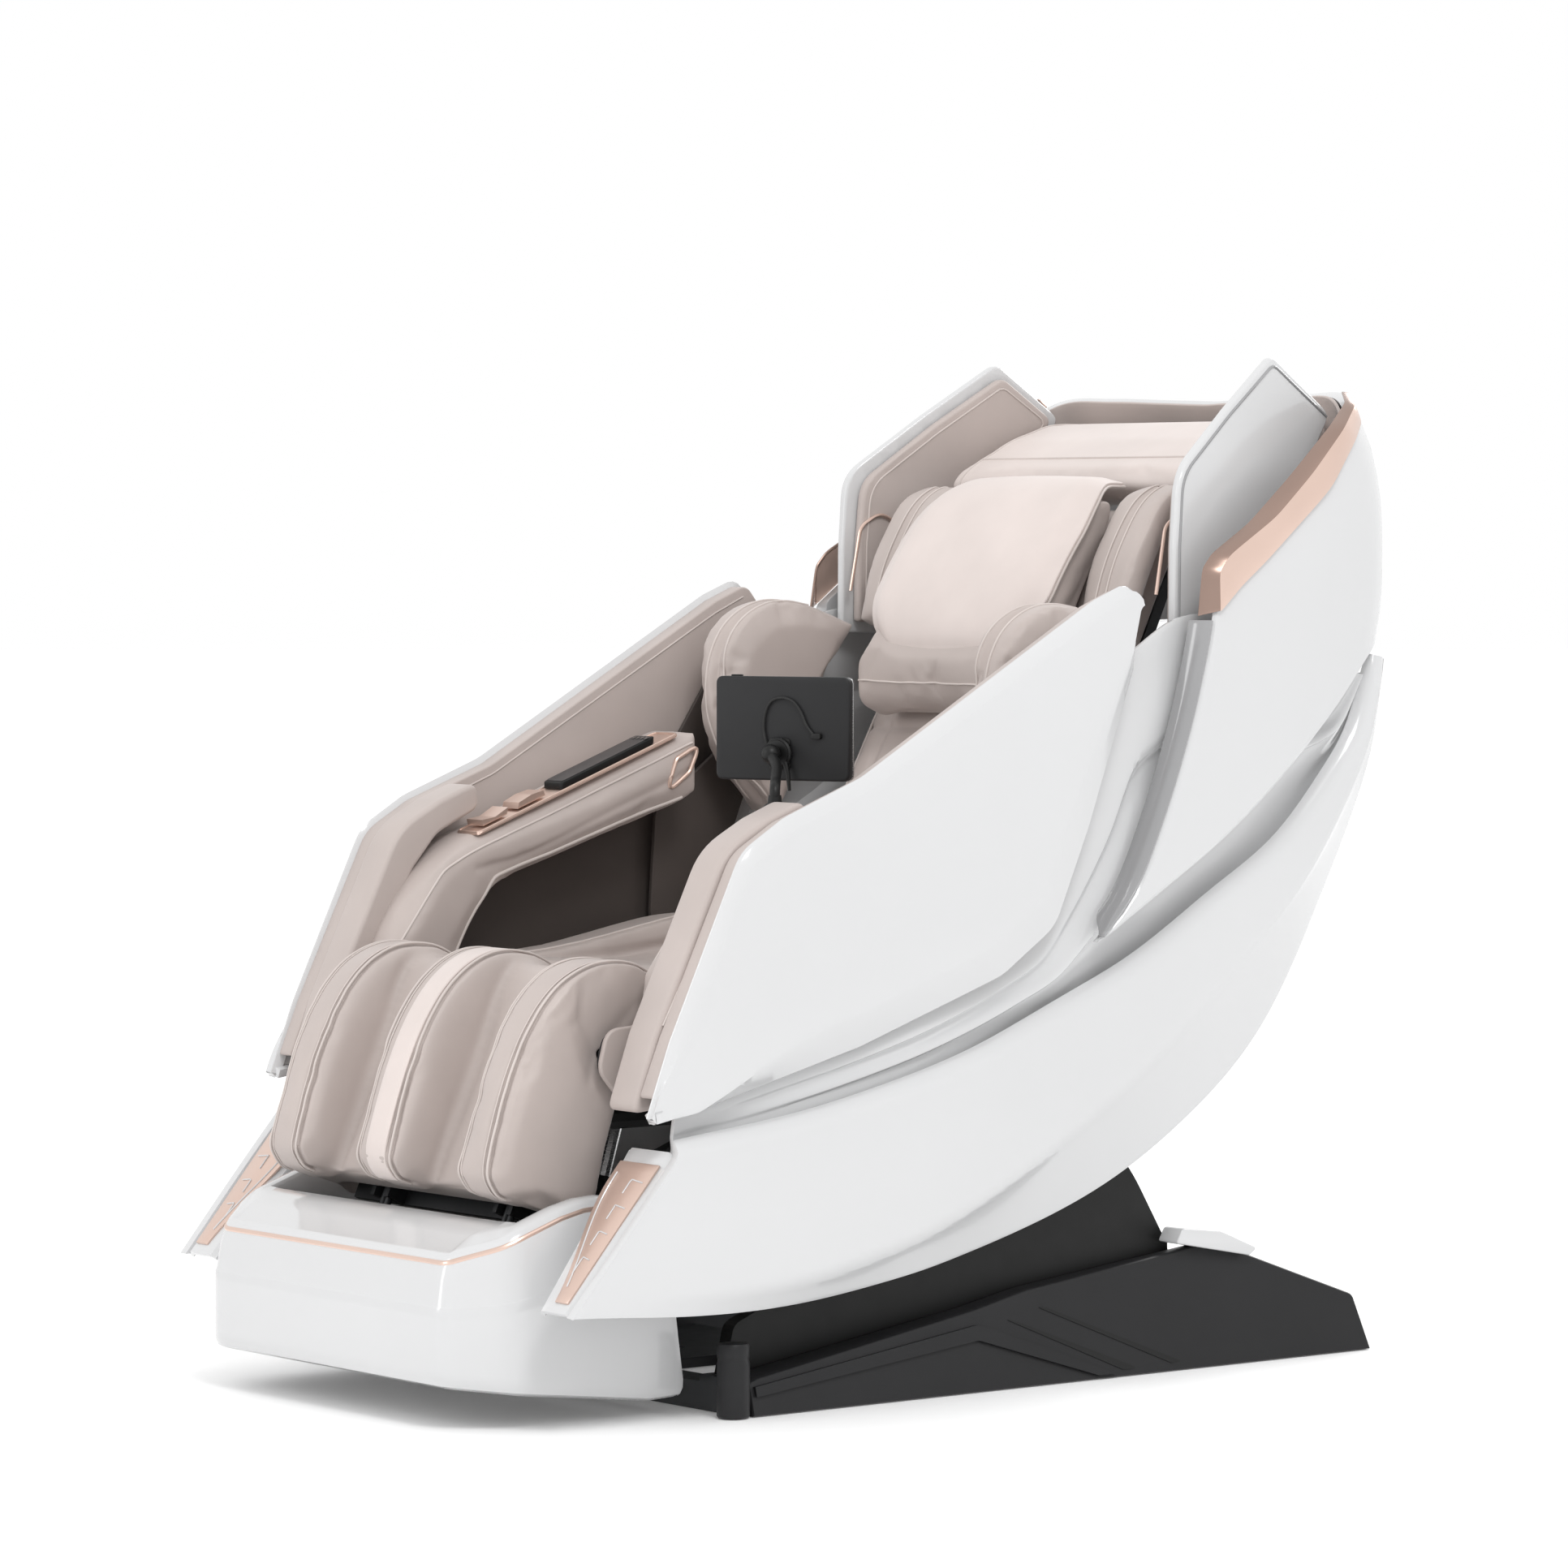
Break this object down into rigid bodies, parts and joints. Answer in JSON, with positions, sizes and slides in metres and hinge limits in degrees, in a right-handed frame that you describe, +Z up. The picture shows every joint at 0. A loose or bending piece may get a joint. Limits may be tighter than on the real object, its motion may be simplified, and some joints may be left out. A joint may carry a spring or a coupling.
{
  "type": "massage chair",
  "caption": "Reclining massage chair with curved side shells, padded arms, calf and foot unit, head pillow, tilting base and a tablet on a pole.",
  "frame": {"origin": "on the floor, on the base frame's underside at mid width under the middle of the seat", "axes": "+Z up, the sitter faces -Y, +X is the sitter's left"},
  "size_m": [0.7602, 1.3988, 1.1853],
  "materials": {
    "gloss_white": "gloss painted shell",
    "leather_taupe": "smooth padded synthetic leather, matt",
    "leather_pale": "smooth padded synthetic leather, soft sheen",
    "rose_gold": "satin rose-gold plating on plastic",
    "black_panel": "satin black cover",
    "base_grey": "satin dark grey cover",
    "frame_steel": "dark powder coat",
    "bright_steel": "ground steel",
    "black_plastic": "fine-grained black plastic",
    "rubber": "matt rubber",
    "cable": "matt cable jacket"
  },
  "bodies": {
    "base": {"base_frame": "frame_steel", "base_cover_left": "base_grey", "base_cover_right": "base_grey", "tower_panel_left": "black_panel", "tower_panel_right": "black_panel", "power_box": "black_plastic", "tilt_actuator": "black_plastic"},
    "wheel_left": {"rear_wheel_left": "rubber"},
    "wheel_right": {"rear_wheel_right": "rubber"},
    "power_rocker": {"power_switch": "rubber"},
    "tilt_rod": {"tilt_rod": "bright_steel"},
    "seat": {"seat_frame": "frame_steel", "seat_cushion": "leather_taupe", "lower_shell_left": "gloss_white", "lower_shell_right": "gloss_white", "side_shell_left": "gloss_white", "side_shell_right": "gloss_white", "inset_plate_left": "rose_gold", "inset_plate_right": "rose_gold", "arm_panel_left": "gloss_white", "arm_panel_right": "gloss_white", "arm_liner_left": "leather_taupe", "arm_liner_right": "leather_taupe", "armrest_left": "leather_taupe", "armrest_right": "leather_taupe", "control_tray": "rose_gold", "hand_controller": "black_plastic", "air_pump": "black_plastic", "back_actuator": "black_plastic", "leg_actuator": "black_plastic", "pole_socket": "black_plastic"},
    "recline_key": {"recline_key": "rose_gold"},
    "pause_key": {"pause_key": "rose_gold"},
    "back_rod": {"back_rod": "bright_steel"},
    "leg_rod": {"leg_rod": "bright_steel"},
    "backrest": {"back_frame": "frame_steel", "back_cover": "black_panel", "rear_shell": "gloss_white", "trim_strip_left": "rose_gold", "trim_strip_right": "rose_gold", "wing_left": "gloss_white", "wing_right": "gloss_white", "wing_pad_left": "leather_taupe", "wing_pad_right": "leather_taupe", "shoulder_pad_left": "leather_taupe", "shoulder_pad_right": "leather_taupe", "back_pad": "leather_taupe", "head_pad_left": "leather_taupe", "head_pad_right": "leather_taupe", "hood": "leather_pale"},
    "pillow": {"pillow": "leather_pale"},
    "carriage": {"massage_carriage": "black_plastic"},
    "kneading_shaft": {"kneading_rollers": "rubber"},
    "legrest": {"calf_pad": "leather_taupe", "calf_frame": "frame_steel"},
    "foot_unit": {"foot_housing": "gloss_white"},
    "sole_shaft": {"sole_roller": "rubber"},
    "pole": {"tablet_pole": "black_plastic"},
    "tablet": {"tablet": "black_plastic", "tablet_cable": "cable"}
  },
  "joints": [
    {"name": "seat_tilt", "type": "hinge", "parent": "base", "child": "seat", "pos_m": [0, 0.2, 0.25], "axis": [-1, 0, 0], "range_deg": [0, 20]},
    {"name": "back_recline", "type": "hinge", "parent": "seat", "child": "backrest", "pos_m": [0, 0.15, 0.47], "axis": [-1, 0, 0], "range_deg": [0, 32]},
    {"name": "leg_lift", "type": "hinge", "parent": "seat", "child": "legrest", "pos_m": [0, -0.42, 0.4], "axis": [-1, 0, 0], "range_deg": [0, 80]},
    {"name": "foot_extend", "type": "slide", "parent": "legrest", "child": "foot_unit", "axis": [0, -0.407, -0.9134], "range_m": [0, 0.1]},
    {"name": "sole_spin", "type": "hinge", "parent": "foot_unit", "child": "sole_shaft", "pos_m": [0, -0.542, 0.176], "axis": [1, 0, 0], "continuous": true},
    {"name": "pillow_flip", "type": "hinge", "parent": "backrest", "child": "pillow", "pos_m": [0, 0.422, 1.0405], "axis": [-1, 0, 0], "range_deg": [0, 90]},
    {"name": "carriage_travel", "type": "slide", "parent": "backrest", "child": "carriage", "axis": [0, 0.4275, 0.904], "range_m": [-0.13, 0.15]},
    {"name": "knead_spin", "type": "hinge", "parent": "carriage", "child": "kneading_shaft", "pos_m": [0, 0.3785, 0.738], "axis": [1, 0, 0], "continuous": true},
    {"name": "pole_swivel", "type": "hinge", "parent": "seat", "child": "pole", "pos_m": [0.272, -0.226, 0.66], "axis": [0, 0, 1], "range_deg": [-10, 60]},
    {"name": "tablet_tilt", "type": "hinge", "parent": "pole", "child": "tablet", "pos_m": [0.2156, -0.1878, 0.728], "axis": [0.9279, 0.3729, 0], "range_deg": [-15, 20]},
    {"name": "recline_key_rock", "type": "hinge", "parent": "seat", "child": "recline_key", "pos_m": [-0.274, -0.233, 0.637], "axis": [1, 0, 0], "range_deg": [-8, 8], "stiffness_Nm_per_rad": 0.2},
    {"name": "pause_key_press", "type": "slide", "parent": "seat", "child": "pause_key", "axis": [0, 0.3532, -0.9355], "range_m": [0, 0.002], "stiffness_N_per_m": 300, "springref_m": -0.002},
    {"name": "power_rock", "type": "hinge", "parent": "base", "child": "power_rocker", "pos_m": [0.03, 0.511, 0.072], "axis": [1, 0, 0], "range_deg": [0, 10]},
    {"name": "wheel_left_roll", "type": "hinge", "parent": "base", "child": "wheel_left", "pos_m": [0.244, 0.562, 0.039], "axis": [1, 0, 0], "continuous": true},
    {"name": "wheel_right_roll", "type": "hinge", "parent": "base", "child": "wheel_right", "pos_m": [-0.244, 0.562, 0.039], "axis": [1, 0, 0], "continuous": true},
    {"name": "tilt_rod_slide", "type": "slide", "parent": "base", "child": "tilt_rod", "axis": [0, 0.2933, 0.956], "range_m": [0, 0.145]},
    {"name": "back_rod_slide", "type": "slide", "parent": "seat", "child": "back_rod", "axis": [0, -0.684, -0.7295], "range_m": [0, 0.06]},
    {"name": "leg_rod_slide", "type": "slide", "parent": "seat", "child": "leg_rod", "axis": [0, -1, 0], "range_m": [0, 0.135]}
  ],
  "couplings": [
    {"joint": "tilt_rod_slide", "follows": "seat_tilt", "m_per_rad": 0.401},
    {"joint": "back_rod_slide", "follows": "back_recline", "m_per_rad": 0.0935},
    {"joint": "leg_rod_slide", "follows": "leg_lift", "m_per_rad": 0.0946}
  ]
}
